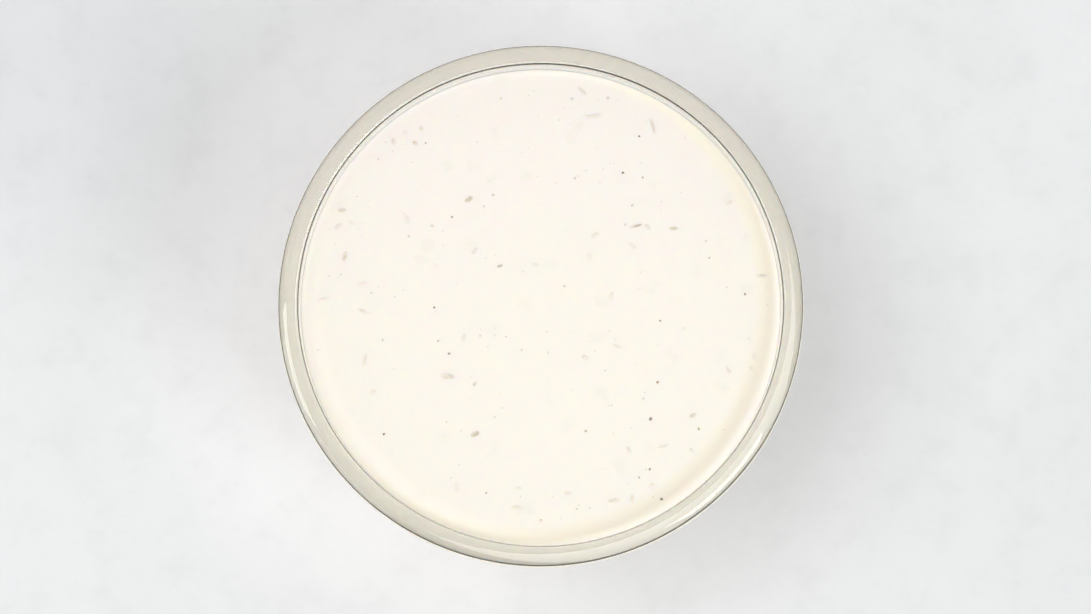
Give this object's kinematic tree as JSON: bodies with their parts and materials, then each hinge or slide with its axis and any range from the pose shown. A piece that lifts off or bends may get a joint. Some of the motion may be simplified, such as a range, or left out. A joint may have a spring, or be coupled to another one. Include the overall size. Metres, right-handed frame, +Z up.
{
  "type": "tzatziki dip in a glass bowl",
  "caption": "Creamy yoghurt and herb dip filling a small round clear glass bowl almost to its rounded rim, with snipped dill and pepper in its level face.",
  "frame": {"origin": "centre of the foot ring, on the surface the bowl stands on", "axes": "+Z up along the bowl's axis; -Y towards the viewer, +X to the viewer's right"},
  "size_m": [0.09, 0.09, 0.045],
  "materials": {
    "clear_glass": "clear, fire-polished pressed glass",
    "dip": "smooth wet cream, softly glossy"
  },
  "bodies": {
    "root": {"bowl": "clear_glass", "dip": "dip"}
  },
  "joints": []
}
